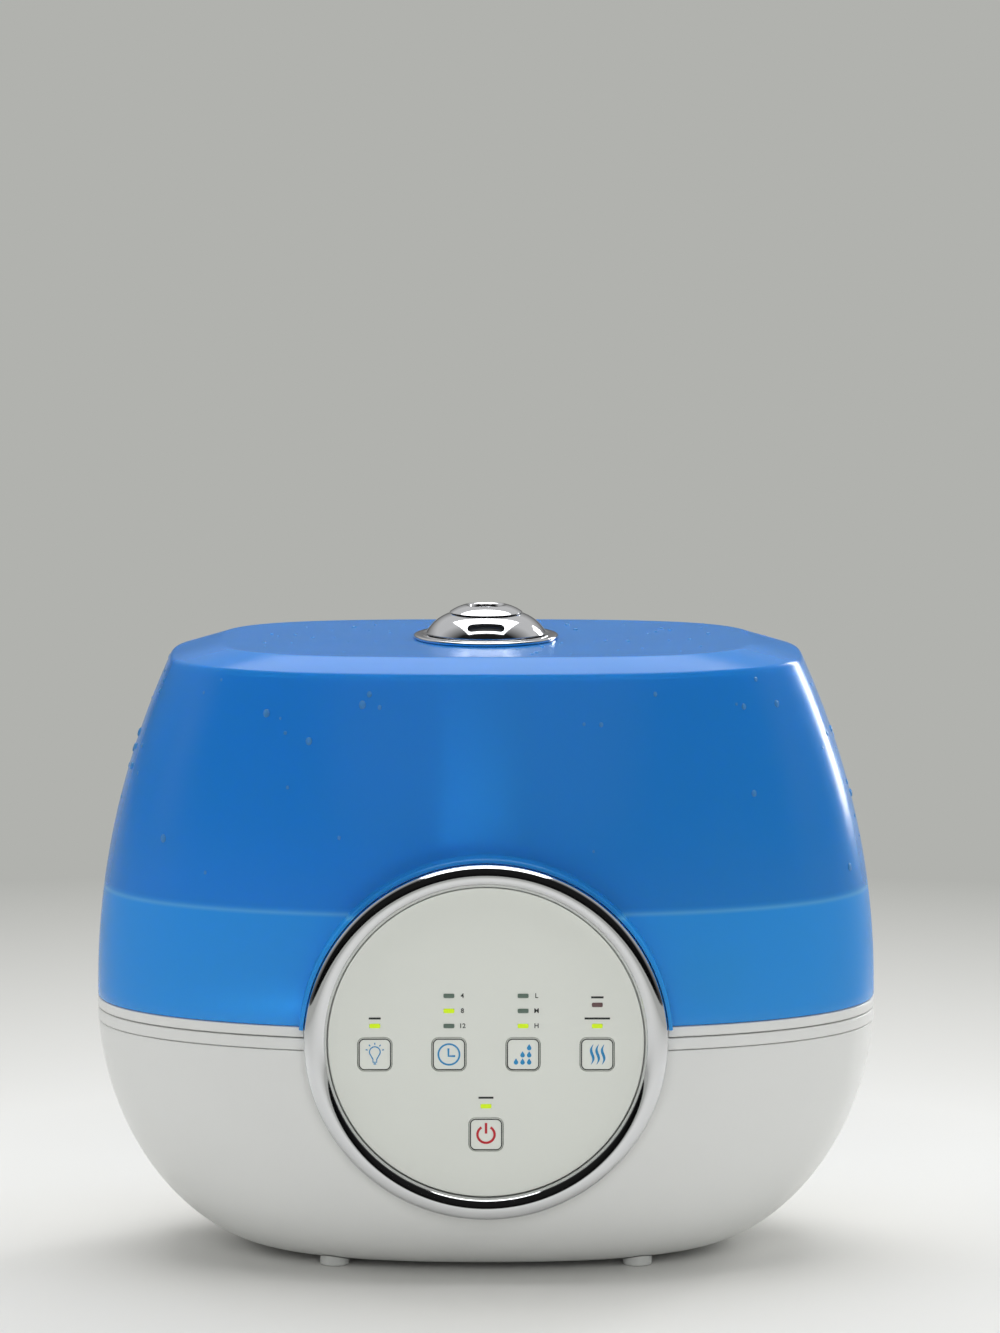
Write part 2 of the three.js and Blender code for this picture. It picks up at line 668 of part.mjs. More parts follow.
function electronics() {
  const top = BOARD_Z + 1.6;
  const capacitors = [14, 26, 38].map((x) => disc(4, top - 0.5, top + 14, BOARD_X + x, -26, 16));
  const board = union(block(90, 76, BOARD_Z, top, BOARD_X), ...capacitors);
  const core = union(
    block(34, 30, top + GAP, top + 24, BOARD_X - 18, 14),
    block(24, 40, top + GAP + 4, top + 20, BOARD_X - 18, 14),
  );
  const fins = [];
  for (let i = 0; i < 6; i++) {
    fins.push(block(1.4, 24, top + 2, top + 20, BOARD_X + 14 + 5 * i, 16));
  }
  const sink = union(block(28, 24, top + GAP, top + 3, BOARD_X + 26.5, 16), ...fins);
  const lensEdgeZ = 98.4;
  const lens = turned(
    [
      [0, 92],
      [NIGHT_LIGHT_R, 92],
      ...arc(0, lensEdgeZ, NIGHT_LIGHT_R, DECK_TOP_Z - lensEdgeZ, 0, 90, 5),
    ],
    24,
  );
  return [
    piece("main_board", board, boardGreen),
    piece("transformer", core, darkPlastic),
    piece("heat_sink", sink, aluminium),
    piece("night_light_lens", solid(lens, move(0, NIGHT_LIGHT_Y, 0)), clearPlastic),
  ];
}

function waterFloat() {
  const ring = pipe(9, 3.1, BASIN_FLOOR_Z + 2.2, 78, FLOAT_X, FLOAT_Y, 28);
  return [piece("float", ring, silicone)];
}

// ---- Control panel, in its own frame: x right, y up, z out towards the user ----------------

const SHELF_Z = -1.1; // rear support of the panel inside the drum
const SWITCH_TOP = -5.7;
const BOARD_FACE = -9.2;

const KEYS = [
  { name: "light", x: -1.5 * KEY_PITCH, y: KEY_ROW },
  { name: "timer", x: -0.5 * KEY_PITCH, y: KEY_ROW },
  { name: "mist", x: 0.5 * KEY_PITCH, y: KEY_ROW },
  { name: "warm", x: 1.5 * KEY_PITCH, y: KEY_ROW },
  { name: "power", x: 0, y: POWER_KEY_ROW },
];

// The lamps over each key: one over the light key, three over timer and mist, two over warm.
const LAMPS = [
  [-1.5 * KEY_PITCH, LAMP_ROW],
  ...[0, 1, 2].map((i) => [-0.5 * KEY_PITCH, LAMP_ROW + i * LAMP_PITCH]),
  ...[0, 1, 2].map((i) => [0.5 * KEY_PITCH, LAMP_ROW + i * LAMP_PITCH]),
  [1.5 * KEY_PITCH, LAMP_ROW],
  [1.5 * KEY_PITCH, REFILL_LAMP_ROW],
  [0, POWER_LAMP_ROW],
];

function panelPieces() {
  const drum = cut(
    disc(DRUM_R, -DRUM_DEPTH, 0, 0, 0, 48),
    disc(DRUM_R - WALL, -DRUM_DEPTH + 2.5, SHELF_Z - 2.5, 0, 0, 48),
    disc(61, -10, 1, 0, 0, 48),
    disc(RING_INNER_R + 0.2, SHELF_Z, 1, 0, 0, 48),
  );
  const ringMiddle = (RING_INNER_R + RING_OUTER_R) / 2;
  const ringHalf = (RING_OUTER_R - RING_INNER_R) / 2;
  const ring = turned(
    [
      [RING_INNER_R, GAP],
      [RING_OUTER_R, GAP],
      ...arc(ringMiddle, GAP, ringHalf, RING_HEIGHT - GAP, 15, 165, 6),
    ],
    56,
  );

  const panelBack = SHELF_Z + GAP;
  const holeSize = KEY_SIZE + 2 * GAP;
  const keyHoles = KEYS.map(({ x, y }) => pad(holeSize, holeSize, KEY_ROUND + GAP, -9, 9, x, y));
  const lampHoles = LAMPS.map(([x, y]) =>
    block(LAMP_W + 2 * GAP, LAMP_H + 2 * GAP, -9, 9, x, y),
  );
  const face = disc(RING_INNER_R - GAP, panelBack, PANEL_FACE, 0, 0, 48);

  const guideTop = panelBack - GAP;
  const guide = union(
    block(100, 17, guideTop - 2, guideTop, 0, 12.5),
    block(5, 34, guideTop - 2, guideTop, 0, -11.5),
    ...LAMPS.map(([x, y]) => block(LAMP_W, LAMP_H, guideTop - 1, PANEL_FACE, x, y)),
  );
  const boardDisc = disc(58, BOARD_FACE - 1.6, BOARD_FACE);
  const switches = KEYS.map(({ name, x, y }) => {
    const body = block(6, 6, BOARD_FACE + 0.2, SWITCH_TOP - 0.6, x, y);
    const plunger = disc(1.7, SWITCH_TOP - 1, SWITCH_TOP, x, y, 12);
    return piece(`switch_${name}`, body.add(plunger), darkPlastic);
  });
  return [
    piece("panel_housing", drum, whitePlastic),
    piece("bezel_ring", ring, chrome),
    piece("control_panel", cut(face, ...keyHoles, ...lampHoles), panelPlastic),
    piece("light_guide", guide, clearPlastic),
    piece("control_board", boardDisc, boardGreen),
    ...switches,
  ];
}

// Each key is a pad with a stem that reaches its switch when it is pressed.
function keyPieces() {
  return KEYS.map(({ name, x, y }) => {
    const top = pad(KEY_SIZE, KEY_SIZE, KEY_ROUND, -1.2, PANEL_FACE + 0.1, x, y);
    const stem = disc(2.2, SWITCH_TOP + KEY_TRAVEL + 0.1, -1, x, y, 16);
    return piece(`key_${name}`, top.add(stem), panelPlastic);
  });
}

// ---- Assembly -----------------------------------------------------------------------------

const assembly = new THREE.Group();
const panel = new THREE.Group();
panel.applyMatrix4(panelFrame);
panel.add(...panelPieces(), ...keyPieces());

const fanPieces = fan();
assembly.add(
  ...waterTank(),
  ...nozzle(),
  ...fillerCap(),
  ...fillerValve(),
  piece("base_housing", baseHousing(), whitePlastic),
  piece("base_deck", baseDeck(), whitePlastic),
  piece("bottom_cover", bottomCover(), whitePlastic),
  piece("cord_gland", cordGland(), rubber),
  ...coverScrews(),
  ...feet(),
  ...fanPieces.still,
  ...fanPieces.turning,
  ...mistWorks(),
  ...electronics(),
  ...waterFloat(),
  panel,
);

// The origin is under the middle of the whole object's box.
const box = new THREE.Box3().setFromObject(assembly, true);
const centre = box.getCenter(new THREE.Vector3());
assembly.position.set(-centre.x, -centre.y, -box.min.z);

const humidifier = new THREE.Group();
humidifier.add(assembly);
export default humidifier;
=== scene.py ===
"""A warm and cool mist humidifier: the fine surfaces, materials, light and camera round its CAD.

Shapes are worked out in millimetres in the body's own frame (x right, y back, z up, with the
mist chimney on the z axis) and are placed in the row frame, in metres, when they become pieces.
"""

import json
import math
import random

import bpy
from mathutils import Matrix, Vector


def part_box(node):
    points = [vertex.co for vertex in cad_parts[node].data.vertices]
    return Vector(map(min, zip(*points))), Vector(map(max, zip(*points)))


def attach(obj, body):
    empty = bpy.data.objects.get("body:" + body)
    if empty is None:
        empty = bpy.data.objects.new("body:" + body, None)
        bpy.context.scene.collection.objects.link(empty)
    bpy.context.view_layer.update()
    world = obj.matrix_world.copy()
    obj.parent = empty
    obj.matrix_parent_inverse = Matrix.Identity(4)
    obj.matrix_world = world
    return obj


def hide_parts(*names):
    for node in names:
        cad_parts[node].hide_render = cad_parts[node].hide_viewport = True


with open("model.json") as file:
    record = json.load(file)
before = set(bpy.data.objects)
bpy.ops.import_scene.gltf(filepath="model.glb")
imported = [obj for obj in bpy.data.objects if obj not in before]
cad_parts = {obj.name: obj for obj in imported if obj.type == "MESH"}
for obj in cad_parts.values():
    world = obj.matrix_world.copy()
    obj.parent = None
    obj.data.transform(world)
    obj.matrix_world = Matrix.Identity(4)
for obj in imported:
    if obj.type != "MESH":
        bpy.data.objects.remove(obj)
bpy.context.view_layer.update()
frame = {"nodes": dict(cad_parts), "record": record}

# ---- Driving dimensions, in millimetres, as in the CAD --------------------------------------

MM = 0.001
GAP = 0.3
WALL = 2.8
OVAL_STEPS = 240

BODY_HALF_WIDTH = 160.4
BODY_HALF_DEPTH = 88
BODY_SQUARENESS = 2.3
WIDEST_Z = 108

BASE_BOTTOM_Z = 2.5
BASE_FLAT_HALF_WIDTH = 90.8
BASE_FLAT_HALF_DEPTH = 53
BOWL_TOP_Z = 104
PARTING_Z = 95.2
DECK_TOP_Z = 100.3
TRIM_BOTTOM_Z = 100.8
TRIM_TOP_Z = 105
TANK_BOTTOM_Z = TRIM_TOP_Z + GAP

RIM_Z = 246.9
RIM_INSET = 31
RIM_DEPTH_INSET = 17.5
RIM_SQUARENESS = 2.8
PLATEAU_Z = 252.6
PLATEAU_HALF_WIDTH = 109
PLATEAU_HALF_DEPTH = 59.5
PLATEAU_SQUARENESS = 3.2
WATER_Z = 152

PANEL_Z = 100.3
PANEL_Y = -89
PANEL_TILT = math.radians(2.5)
RING_OUTER_R = 73.4
RING_INNER_R = 63.9
RING_HEIGHT = 4.6
DRUM_R = 72.9
DRUM_DEPTH = 27
NOTCH_R = RING_OUTER_R + GAP
COLLAR_R = NOTCH_R + 1.7
PANEL_FACE = 1.2

KEY_SIZE = 13.5
KEY_ROUND = 2.6
KEY_PITCH = 29.8
KEY_ROW = -4.7
POWER_KEY_ROW = -37.8
KEY_TOP = PANEL_FACE + 0.1
LAMP_W = 4.4
LAMP_H = 1.8
LAMP_PITCH = 6.2
LAMP_ROW = 7
REFILL_LAMP_ROW = 15.7
POWER_LAMP_ROW = -26.1

CHIMNEY_R = 19.5
CHIMNEY_BORE_R = 17.5
FLANGE_R = 29.7
DOME_R = 24.6
DOME_CREST_R = 14.9
DOME_CREST_Z = 263
SLOT_Y = -20.8
SLOT_Z = 259.7
SLOT_TILT = 0.75  # how far the slot looks upwards, in radians
SLOT_W = 15.3
SLOT_H = 4.2
OUTLET_RIDGE_R = 8.2
NOZZLE_TOP_Z = 266.4
MIST_HOLE_R = 6.5

CAP_X = 90
NECK_R = 21
NECK_BORE_R = 18.5
BASIN_FLOOR_Z = 68
BASIN_X = 47
BASIN_Y = 4
BASIN_HALF_WIDTH = 79
BASIN_HALF_DEPTH = 50
BASIN_CORNER_R = 30
HEATER_X = 44
HEATER_Y = -12
DUCT_X = -74
DUCT_R = 20
NIGHT_LIGHT_Y = 68
GLAND_X = 40
GLAND_Z = 26
GLAND_SEAT_Y = 71
COVER_HALF_WIDTH = 76
COVER_HALF_DEPTH = 41
COVER_TOP_Z = 6.2
FOOT_X = 62
FOOT_Y = 46
FOOT_R = 6

chimney_low, chimney_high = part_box("mist_chimney")
BODY_FRAME = Matrix.Translation((0, (chimney_low.y + chimney_high.y) / 2, 0)) @ Matrix.Scale(MM, 4)
PANEL_FRAME = Matrix.Translation((0, PANEL_Y, PANEL_Z)) @ Matrix.Rotation(
    math.pi / 2 + PANEL_TILT, 4, "X"
)


# ---- Materials --------------------------------------------------------------------------------


def srgb(red, green, blue):
    """A colour from its 8-bit sRGB parts, as the linear colour that shaders take."""
    linear = []
    for part in (red, green, blue):
        share = part / 255
        linear.append(share / 12.92 if share <= 0.04045 else ((share + 0.055) / 1.055) ** 2.4)
    return (*linear, 1)


def new_material(name):
    """An empty node material with its principled shader and its object coordinates."""
    made = bpy.data.materials.new(name)
    made.use_nodes = True
    tree = made.node_tree
    shader = tree.nodes["Principled BSDF"]
    place = tree.nodes.new("ShaderNodeTexCoord")
    return made, tree, shader, place.outputs["Object"]


def noise(tree, place, scale, detail=3, roughness=0.5):
    """A noise texture's factor. Scale counts features in each metre."""
    texture = tree.nodes.new("ShaderNodeTexNoise")
    texture.inputs["Scale"].default_value = scale
    texture.inputs["Detail"].default_value = detail
    texture.inputs["Roughness"].default_value = roughness
    tree.links.new(place, texture.inputs["Vector"])
    return texture.outputs["Fac"]


def remap(tree, value, low, high, from_low=0.3, from_high=0.7):
    """A value spread over a new range."""
    node = tree.nodes.new("ShaderNodeMapRange")
    for socket, number in zip(node.inputs[1:5], (from_low, from_high, low, high)):
        socket.default_value = number
    tree.links.new(value, node.inputs[0])
    return node.outputs[0]


def ramp(tree, value, stops):
    """A colour ramp over [place, colour] stops."""
    node = tree.nodes.new("ShaderNodeValToRGB")
    elements = node.color_ramp.elements
    while len(elements) < len(stops):
        elements.new(0.5)
    for element, (place, colour) in zip(elements, stops):
        element.position = place
        element.color = colour
    tree.links.new(value, node.inputs[0])
    return node.outputs[0]


def bump(tree, shader, height, strength, distance):
    """Fine relief in the surface. Distance is its height in metres."""
    node = tree.nodes.new("ShaderNodeBump")
    node.inputs["Strength"].default_value = strength
    node.inputs["Distance"].default_value = distance
    tree.links.new(height, node.inputs["Height"])
    tree.links.new(node.outputs[0], shader.inputs["Normal"])


def shade(colour, factor):
    return (*[part * factor for part in colour[:3]], 1)


def plain_finish(name, colour, rough, *, grain=900, depth=0.00002, mottle=0.06, cloud=18, **sockets):
    """A moulded, cast or rolled finish: fine grain, and slow changes of colour and gloss."""
    made, tree, shader, place = new_material(name)
    slow = noise(tree, place, cloud)
    tint = ramp(tree, slow, [(0.3, shade(colour, 1 - mottle)), (0.7, shade(colour, 1 + mottle))])
    tree.links.new(tint, shader.inputs["Base Color"])
    gloss = remap(tree, noise(tree, place, cloud * 9), rough * 0.88, rough * 1.12)
    tree.links.new(gloss, shader.inputs["Roughness"])
    bump(tree, shader, noise(tree, place, grain, 2), 0.5, depth)
    for socket, number in sockets.items():
        shader.inputs[socket.replace("_", " ")].default_value = number
    return made


def tank_finish():
    """Frosted clear blue plastic, with painted light below the water line, where the blue is paler and
    greener, and a painted highlight line along the water line.
    """
    made, tree, shader, place = new_material("tank_blue")
    parts = tree.nodes.new("ShaderNodeSeparateXYZ")
    tree.links.new(place, parts.inputs[0])
    height = remap(tree, parts.outputs["Z"], 0, 1, 0.1, 0.26)
    water_line = (WATER_Z * MM - 0.1) / 0.16
    # The ramp paints light: a paler blue below the water line, and a bright highlight line at the water
    # line itself.
    tint = ramp(
        tree,
        height,
        [
            (0, srgb(54, 171, 254)),
            (water_line - 0.012, srgb(52, 169, 252)),
            (water_line - 0.004, srgb(104, 198, 254)),
            (water_line + 0.004, srgb(52, 166, 246)),
            (1, srgb(50, 162, 247)),
        ],
    )
    tree.links.new(tint, shader.inputs["Base Color"])
    gloss = remap(tree, noise(tree, place, 60), 0.2, 0.26)
    tree.links.new(gloss, shader.inputs["Roughness"])
    bump(tree, shader, noise(tree, place, 22, 1), 0.25, 0.0006)
    clear = remap(tree, parts.outputs["Z"], 0.36, 0.55, WATER_Z * MM - 0.002, WATER_Z * MM + 0.002)
    tree.links.new(clear, shader.inputs["Transmission Weight"])
    shader.inputs["IOR"].default_value = 1.4
    return made


def water_finish():
    """Drops of water, clear with a little of the tank's blue, and a pale diffuse share that paints their
    glints as lighter dots.
    """
    made, tree, shader, place = new_material("water")
    gloss = remap(tree, noise(tree, place, 90), 0.06, 0.12)
    tree.links.new(gloss, shader.inputs["Roughness"])
    # Painted highlight: the pale blue base under the partial transmission makes each drop show as a
    # lighter dot.
    shader.inputs["Base Color"].default_value = srgb(104, 188, 244)
    shader.inputs["Transmission Weight"].default_value = 0.6
    shader.inputs["IOR"].default_value = 1.33
    return made


def lamp_finish(name, colour, glow):
    """A small diffusing lamp lens, with faint mottling."""
    made, tree, shader, place = new_material(name)
    spots = noise(tree, place, 700)
    tint = ramp(tree, spots, [(0.3, shade(colour, 0.93)), (0.7, colour)])
    tree.links.new(tint, shader.inputs["Base Color"])
    shader.inputs["Roughness"].default_value = 0.3
    if glow:
        tree.links.new(tint, shader.inputs["Emission Color"])
        shader.inputs["Emission Strength"].default_value = glow
    return made


MATERIALS = {
    "tank_blue": tank_finish(),
    "tube_frost": plain_finish("tube_frost", srgb(236, 243, 250), 0.4, Transmission_Weight=0.1),
    "water": water_finish(),
    "white_plastic": plain_finish("white_plastic", srgb(226, 227, 225), 0.32, depth=0.00001, mottle=0.012),
    "panel_plastic": plain_finish("panel_plastic", srgb(234, 237, 230), 0.42, depth=0.00001, mottle=0.01),
    "key_plastic": plain_finish("key_plastic", srgb(237, 240, 233), 0.38, depth=0.00001, mottle=0.01),
    "chrome": plain_finish("chrome", srgb(225, 226, 228), 0.07, depth=0.000004, mottle=0.02, Metallic=1),
    "grey_plastic": plain_finish("grey_plastic", srgb(143, 148, 148), 0.5),
    "dark_plastic": plain_finish("dark_plastic", srgb(46, 48, 50), 0.5),
    "rubber": plain_finish("rubber", srgb(196, 198, 195), 0.75, depth=0.00006),
    "silicone": plain_finish("silicone", srgb(217, 214, 204), 0.55),
    "clear_plastic": plain_finish("clear_plastic", srgb(225, 235, 225), 0.2, Transmission_Weight=0.5),
    "circuit_board": plain_finish("circuit_board", srgb(35, 96, 60), 0.45, cloud=120, mottle=0.2),
    "brass": plain_finish("brass", srgb(185, 150, 79), 0.3, Metallic=1),
    "steel": plain_finish("steel", srgb(180, 183, 186), 0.28, Metallic=1, cloud=60),
    "aluminium": plain_finish("aluminium", srgb(169, 173, 176), 0.38, Metallic=1),
    "filter_foam": plain_finish(
        "filter_foam", srgb(80, 84, 88), 0.95, grain=500, depth=0.0008, mottle=0.25
    ),
    "resin": plain_finish(
        "resin", srgb(44, 110, 112), 0.6, grain=700, depth=0.0005, mottle=0.25, cloud=300
    ),
    "icon_blue": plain_finish("icon_blue", srgb(38, 142, 198), 0.4),
    "icon_red": plain_finish("icon_red", srgb(196, 24, 42), 0.4),
    "print_grey": plain_finish("print_grey", srgb(42, 46, 44), 0.5),
    "lamp_lit": lamp_finish("lamp_lit", srgb(186, 214, 20), 0.5),
    "lamp_off": lamp_finish("lamp_off", srgb(100, 120, 108), 0),
    "lamp_refill": lamp_finish("lamp_refill", srgb(112, 86, 86), 0),
}


# ---- Solids -----------------------------------------------------------------------------------


class Solid:
    """A closed mesh in millimetres. Solids join with +, cut with - and keep what is common with &."""

    def __init__(self, vertices, faces):
        self.mesh = bpy.data.meshes.new("solid")
        self.mesh.from_pydata(vertices, [], faces)

    def moved(self, matrix):
        self.mesh.transform(matrix)
        return self

    def at(self, x, y, z=0):
        return self.moved(Matrix.Translation((x, y, z)))

    def _with(self, other, operation):
        holders = []
        for solid in (self, other):
            holder = bpy.data.objects.new("holder", solid.mesh)
            bpy.context.scene.collection.objects.link(holder)
            holders.append(holder)
        modifier = holders[0].modifiers.new("boolean", "BOOLEAN")
        modifier.operation = operation
        modifier.solver = "MANIFOLD"
        modifier.object = holders[1]
        graph = bpy.context.evaluated_depsgraph_get()
        result = Solid([], [])
        result.mesh = bpy.data.meshes.new_from_object(holders[0].evaluated_get(graph))
        for holder in holders:
            bpy.data.objects.remove(holder)
        return result

    def __add__(self, other):
        return self._with(other, "UNION")

    def __sub__(self, other):
        return self._with(other, "DIFFERENCE")

    def __and__(self, other):
        return self._with(other, "INTERSECT")


def beside(*solids):
    """Solids that don't touch, as one mesh."""
    vertices = []
    faces = []
    for solid in solids:
        start = len(vertices)
        vertices += [tuple(vertex.co) for vertex in solid.mesh.vertices]
        faces += [[start + i for i in face.vertices] for face in solid.mesh.polygons]
    return Solid(vertices, faces)


def loft(rings):
    """A closed solid through rings of points, from the lowest ring to the highest."""
    count = len(rings[0])
    faces = [list(range(count))[::-1]]
    for level in range(len(rings) - 1):
        low = level * count
        for i in range(count):
            j = (i + 1) % count
            faces.append([low + i, low + j, low + count + j, low + count + i])
    last = (len(rings) - 1) * count
    faces.append(list(range(last, last + count)))
    return Solid([point for ring in rings for point in ring], faces)


def turned(outline, sides=128):
    """A solid turned about z from a [radius, height] outline, walked with the solid on its left."""
    vertices = []
    columns = []
    for radius, height in outline:
        if radius == 0:
            columns.append([len(vertices)] * sides)
            vertices.append((0, 0, height))
            continue
        columns.append(list(range(len(vertices), len(vertices) + sides)))
        for i in range(sides):
            angle = 2 * math.pi * i / sides
            vertices.append((radius * math.cos(angle), radius * math.sin(angle), height))
    faces = []
    pairs = list(zip(columns, columns[1:]))
    if outline[0][0] > 0:
        pairs.append((columns[-1], columns[0]))
    for low, high in pairs:
        for i in range(sides):
            j = (i + 1) % sides
            corners = [low[i], low[j], high[j], high[i]]
            face = [c for k, c in enumerate(corners) if c != corners[k - 1]]
            if len(face) > 2:
                faces.append(face)
    return Solid(vertices, faces)


def disc(radius, low, high, x=0, y=0, sides=96):
    return turned([(0, low), (radius, low), (radius, high), (0, high)], sides).at(x, y)


def pipe(outer, inner, low, high, x=0, y=0, sides=96):
    return turned([(inner, low), (outer, low), (outer, high), (inner, high)], sides).at(x, y)


def arc(radius, height, wide, tall, start, end, steps):
    """Points on an elliptical arc in [radius, height], angles in degrees."""
    points = []
    for i in range(steps + 1):
        angle = math.radians(start + (end - start) * i / steps)
        points.append((radius + wide * math.cos(angle), height + tall * math.sin(angle)))
    return points


def bowed(start, end, swell, steps):
    """Points on a shallow curve between two points, which swells to the right of its path."""
    run = end[0] - start[0]
    rise = end[1] - start[1]
    length = math.hypot(run, rise)
    points = []
    for i in range(steps + 1):
        t = i / steps
        out = 4 * swell * t * (1 - t)
        points.append((start[0] + run * t + out * rise / length, start[1] + rise * t - out * run / length))
    return points


def rounded_box(width, depth, corner, steps=8):
    """Points round a rounded rectangle."""
    points = []
    for turn, (x, y) in enumerate(((1, 1), (-1, 1), (-1, -1), (1, -1))):
        middle_x = x * (width / 2 - corner)
        middle_y = y * (depth / 2 - corner)
        points += arc(middle_x, middle_y, corner, corner, 90 * turn, 90 * turn + 90, steps)
    return points


def pad(width, depth, corner, low, high, x=0, y=0, soft=0):
    """A rounded rectangle prism, with its upper edge rounded by soft."""
    rings = [(0, low)]
    if soft:
        for turn in (0, 30, 60, 90):
            angle = math.radians(turn)
            rings.append((soft * (1 - math.cos(angle)), high - soft * (1 - math.sin(angle))))
    else:
        rings.append((0, high))
    levels = []
    for inset, z in rings:
        outline = rounded_box(width - 2 * inset, depth - 2 * inset, corner - inset)
        levels.append([(px + x, py + y, z) for px, py in outline])
    return loft(levels)


def block(width, depth, low, high, x=0, y=0):
    corners = [(-1, -1), (1, -1), (1, 1), (-1, 1)]
    rings = [[(x + a * width / 2, y + b * depth / 2, z) for a, b in corners] for z in (low, high)]
    return loft(rings)


def stroke(points, width, low, high, closed=False):
    """A flat line of even width through [x, y] points."""
    sides = ([], [])
    count = len(points)
    for i, point in enumerate(points):
        before = points[i - 1] if closed or i > 0 else point
        after = points[(i + 1) % count] if closed or i < count - 1 else point
        along = Vector(after) - Vector(before)
        across = Vector((-along.y, along.x)).normalized() * width / 2
        sides[0].append(Vector(point) + across)
        sides[1].append(Vector(point) - across)
    vertices = [(p.x, p.y, z) for z in (low, high) for side in sides for p in side]
    faces = []
    left_low, right_low, left_high, right_high = (k * count for k in range(4))
    for i in range(count if closed else count - 1):
        j = (i + 1) % count
        faces.append([left_high + i, right_high + i, right_high + j, left_high + j])
        faces.append([left_low + i, left_low + j, right_low + j, right_low + i])
        faces.append([left_low + i, left_high + i, left_high + j, left_low + j])
        faces.append([right_low + i, right_low + j, right_high + j, right_high + i])
    if not closed:
        end = count - 1
        faces.append([left_low, right_low, right_high, left_high])
        faces.append([left_low + end, left_high + end, right_high + end, right_low + end])
    return Solid(vertices, faces)


def piece(name, solid, finish, body, replaces=(), sharp=30, inner=None):
    """A named piece of the visual model, which rides on a CAD body.

    Inner is the matrix of the piece's own frame in the body's frame.
    """
    if inner is not None:
        solid.moved(inner)
    mesh = solid.mesh
    mesh.name = name
    mesh.transform(BODY_FRAME)
    mesh.materials.clear()
    mesh.materials.append(MATERIALS[finish])
    mesh.shade_smooth()
    mesh.set_sharp_from_angle(angle=math.radians(sharp))
    made = bpy.data.objects.new(name, mesh)
    bpy.context.scene.collection.objects.link(made)
    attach(made, body)
    if replaces:
        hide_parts(*replaces)
    return made


# ---- Body outlines ----------------------------------------------------------------------------


def oval(a, b, n, z):
    """A superellipse ring of points at height z."""
    points = []
    for i in range(OVAL_STEPS):
        angle = 2 * math.pi * i / OVAL_STEPS
        c = math.cos(angle)
        s = math.sin(angle)
        size = (abs(c) ** n + abs(s) ** n) ** (-1 / n)
        points.append((a * c * size, b * s * size, z))
    return points


def oval_prism(a, b, n, low, high, soft=0):
    """A prism of the oval plan, with both its edges rounded by soft."""
    if not soft:
        return loft([oval(a, b, n, low), oval(a, b, n, high)])
    turns = [math.radians(angle) for angle in (0, 30, 60, 90)]
    below = [(soft * (1 - math.sin(t)), low + soft * (1 - math.cos(t))) for t in turns]
    above = [(soft * (1 - math.cos(t)), high - soft * (1 - math.sin(t))) for t in turns]
    return loft([oval(a - inset, b - inset, n, z) for inset, z in below + above])


def tank_section(z, inset=0):
    """The tank's side wall at height z: half width, half depth, squareness and height."""
    lean = (abs(z - WIDEST_Z) / (RIM_Z - WIDEST_Z)) ** 2.05
    return (
        BODY_HALF_WIDTH - RIM_INSET * lean - inset,
        BODY_HALF_DEPTH - RIM_DEPTH_INSET * lean - inset,
        BODY_SQUARENESS + (RIM_SQUARENESS - BODY_SQUARENESS) * lean,
        z,
    )


def mixed(first, second, share):
    return tuple(f + (s - f) * share for f, s in zip(first, second))


def crease(before, corner, after, reach, steps=6):
    """Sections that round a corner, from reach before it to reach after it."""
    start = mixed(corner, before, reach / math.hypot(corner[0] - before[0], corner[3] - before[3]))
    end = mixed(corner, after, reach / math.hypot(corner[0] - after[0], corner[3] - after[3]))
    sections = []
    for i in range(steps + 1):
        t = i / steps
        sections.append(mixed(mixed(start, corner, t), mixed(corner, end, t), t))
    return sections


def tank_form(inset):
    """The whole outside of the tank, or its water space when inset by the wall."""
    low = TRIM_BOTTOM_Z if inset else TANK_BOTTOM_Z
    levels = 36
    rim = tank_section(RIM_Z - inset, inset)
    top = (
        PLATEAU_HALF_WIDTH - inset,
        PLATEAU_HALF_DEPTH - inset,
        PLATEAU_SQUARENESS,
        PLATEAU_Z - inset,
    )
    middle = (top[0] - 10, top[1] - 10, top[2], top[3])
    round_reach = 1.6
    sections = []
    if not inset:
        sections += [tank_section(low, 0.5), tank_section(low + 0.15, 0.15)]
        low += 0.5
    top_of_side = rim[3] - round_reach - 0.5
    for i in range(levels + 1):
        sections.append(tank_section(low + (top_of_side - low) * i / levels, inset))
    sections += crease(sections[-1], rim, top, round_reach)
    sections += crease(rim, top, middle, 1.1)
    sections.append(middle)
    return loft([oval(*section) for section in sections])


def bowl_size(z):
    """The bowl's half width and half depth at height z."""
    rise = (z - BASE_BOTTOM_Z) / (BOWL_TOP_Z - BASE_BOTTOM_Z)
    sideways = (1 - (1 - rise) ** 2) ** (1 / 1.7)
    frontways = (1 - (1 - rise) ** 4) ** (1 / 1.8)
    return (
        BASE_FLAT_HALF_WIDTH + (BODY_HALF_WIDTH - BASE_FLAT_HALF_WIDTH) * sideways,
        BASE_FLAT_HALF_DEPTH + (BODY_HALF_DEPTH - BASE_FLAT_HALF_DEPTH) * frontways,
    )


def bowl_form(inset, high, soft=0):
    levels = 44
    rings = []
    for i in range(levels + 1):
        z = BASE_BOTTOM_Z + (high - soft - BASE_BOTTOM_Z) * (i / levels) ** 2
        a, b = bowl_size(z)
        lift = inset * (levels - i) / levels
        rings.append(oval(a - inset, b - inset, BODY_SQUARENESS, z + lift))
    if soft:
        a, b = bowl_size(high - soft)
        for t in (math.radians(30), math.radians(60), math.radians(90)):
            ease = soft * (1 - math.cos(t))
            rings.append(oval(a - ease, b - ease, BODY_SQUARENESS, high - soft * (1 - math.sin(t))))
    return loft(rings)


def on_panel_axis(radius, start, end, sides=192):
    return disc(radius, start, end, sides=sides).moved(PANEL_FRAME)


def on_gland_axis(radius, start, end):
    facing = Matrix.Translation((GLAND_X, 0, GLAND_Z)) @ Matrix.Rotation(-math.pi / 2, 4, "X")
    return disc(radius, start, end, sides=64).moved(facing)


# ---- Water tank -------------------------------------------------------------------------------


